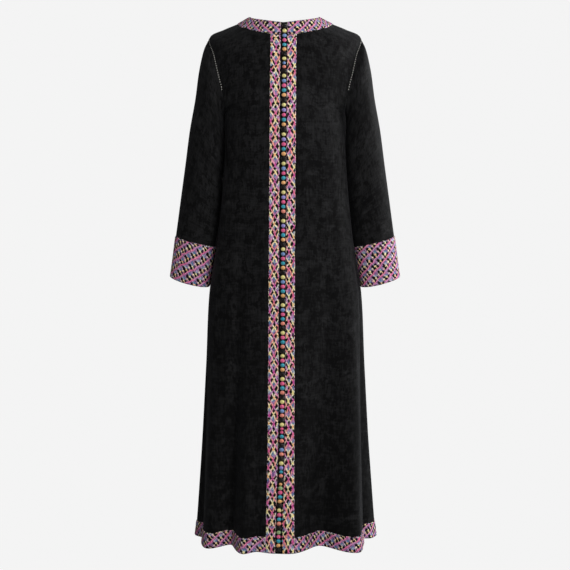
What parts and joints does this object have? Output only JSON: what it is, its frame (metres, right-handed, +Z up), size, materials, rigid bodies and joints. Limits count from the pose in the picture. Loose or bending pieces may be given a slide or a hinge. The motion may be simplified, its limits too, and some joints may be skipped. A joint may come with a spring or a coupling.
{
  "type": "kaftan dress",
  "caption": "Full-length kaftan dress, filled out and hollow, with long cuffed sleeves, a round neck and a column of ball buttons between woven bands.",
  "frame": {"origin": "midway between the high shoulder points, where the neckline meets the shoulder seams: the wearer's shoulders carry the dress there", "axes": "+Z up, -Y towards the front, +X towards the wearer's left"},
  "size_m": [0.5996, 0.395, 1.3615],
  "materials": {
    "jacquard": "black napped jacquard with a soft sheen",
    "woven_tape": "multicolour woven tape, matt",
    "button_silk": "silk thread wound into balls, satin"
  },
  "bodies": {
    "root": {"front_left": "jacquard", "front_right": "jacquard", "back": "jacquard", "sleeve_left": "jacquard", "sleeve_right": "jacquard", "neck_tape_front_left": "woven_tape", "neck_tape_front_right": "woven_tape", "neck_tape_back": "woven_tape", "front_band_left": "woven_tape", "front_band_right": "woven_tape", "cuff_left": "woven_tape", "cuff_right": "woven_tape", "hem_tape_front_left": "woven_tape", "hem_tape_front_right": "woven_tape", "hem_tape_back": "woven_tape", "buttons_01": "button_silk", "buttons_02": "button_silk", "buttons_03": "button_silk", "buttons_04": "button_silk", "buttons_05": "button_silk", "buttons_06": "button_silk", "buttons_07": "button_silk", "buttons_08": "button_silk", "buttons_09": "button_silk", "buttons_10": "button_silk", "buttons_11": "button_silk", "buttons_12": "button_silk", "buttons_13": "button_silk", "buttons_14": "button_silk", "buttons_15": "button_silk", "buttons_16": "button_silk", "buttons_17": "button_silk", "buttons_18": "button_silk", "buttons_19": "button_silk", "buttons_20": "button_silk", "buttons_21": "button_silk", "buttons_22": "button_silk"}
  },
  "joints": []
}
